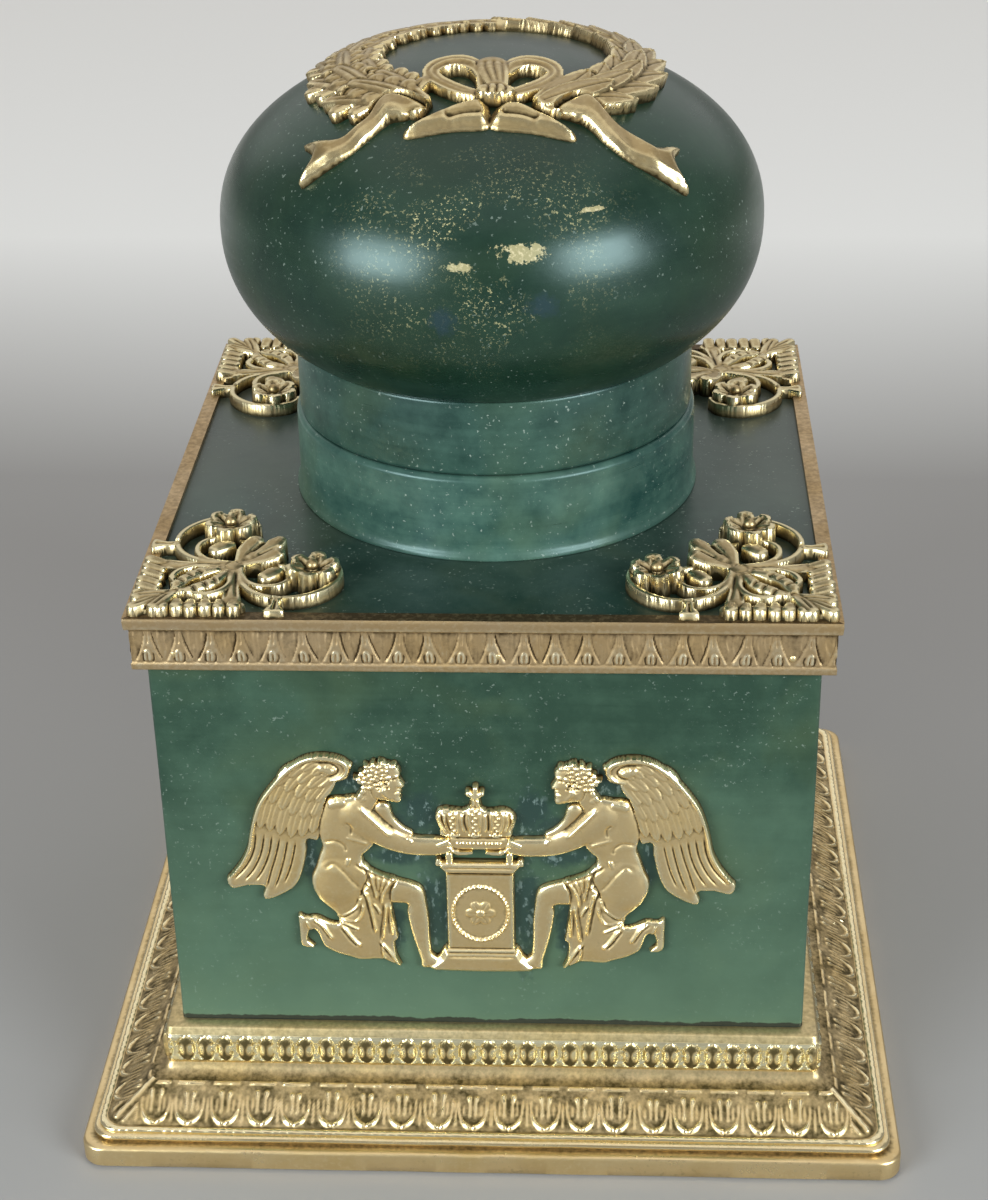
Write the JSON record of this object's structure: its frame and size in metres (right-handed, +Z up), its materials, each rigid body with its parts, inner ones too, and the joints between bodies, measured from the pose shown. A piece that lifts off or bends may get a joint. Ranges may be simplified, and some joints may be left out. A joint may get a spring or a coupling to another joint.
{
  "type": "inkwell",
  "caption": "Square box inkwell on a moulded plinth, with a hinged bulb-shaped lid, relief mounts and a lift-out porcelain pot.",
  "frame": {"origin": "centre of the felt pad's underside", "axes": "+Z up, the front with the relief faces -Y, +X to its right"},
  "size_m": [0.1092, 0.1092, 0.1399],
  "materials": {
    "gilt_brass": "worn mercury gilding, matt in the hollows and burnished on the high places",
    "green_lacquer": "satin, brushed, with small chips",
    "plain_brass": "satin",
    "steel": "dull",
    "wood_core": "raw",
    "felt": "felt",
    "porcelain": "gloss"
  },
  "bodies": {
    "root": {"base_felt": "felt", "plinth_core": "wood_core", "plinth_shell": "gilt_brass", "base_screws": "steel", "case_shell": "green_lacquer", "case_corner_blocks": "plain_brass", "top_plate": "green_lacquer", "frieze_front": "gilt_brass", "frieze_right": "gilt_brass", "frieze_back": "gilt_brass", "frieze_left": "gilt_brass", "frieze_pins": "gilt_brass", "corner_mount_front_left": "gilt_brass", "corner_mount_front_right": "gilt_brass", "corner_mount_back_left": "gilt_brass", "corner_mount_back_right": "gilt_brass", "corner_mount_pins": "gilt_brass", "front_applique": "gilt_brass", "applique_nuts": "plain_brass", "collar": "green_lacquer", "pot_holder": "plain_brass", "hinge_body_leaf": "plain_brass", "hinge_pin": "steel", "hinge_body_screws": "steel"},
    "lid": {"lid_neck": "green_lacquer", "lid_spigot": "plain_brass", "lid_dome": "green_lacquer", "wreath_mount": "gilt_brass", "wreath_nuts": "plain_brass", "hinge_lid_leaf": "plain_brass", "hinge_lid_screws": "steel"},
    "ink_pot": {"ink_pot": "porcelain"}
  },
  "joints": [
    {"name": "lid_hinge", "type": "hinge", "parent": "root", "child": "lid", "pos_m": [0, 0.0292, 0.0894], "axis": [-1, 0, 0], "range_deg": [0, 95]},
    {"name": "ink_pot_lift", "type": "slide", "parent": "root", "child": "ink_pot", "axis": [0, 0, 1], "range_m": [0, 0.036]}
  ]
}
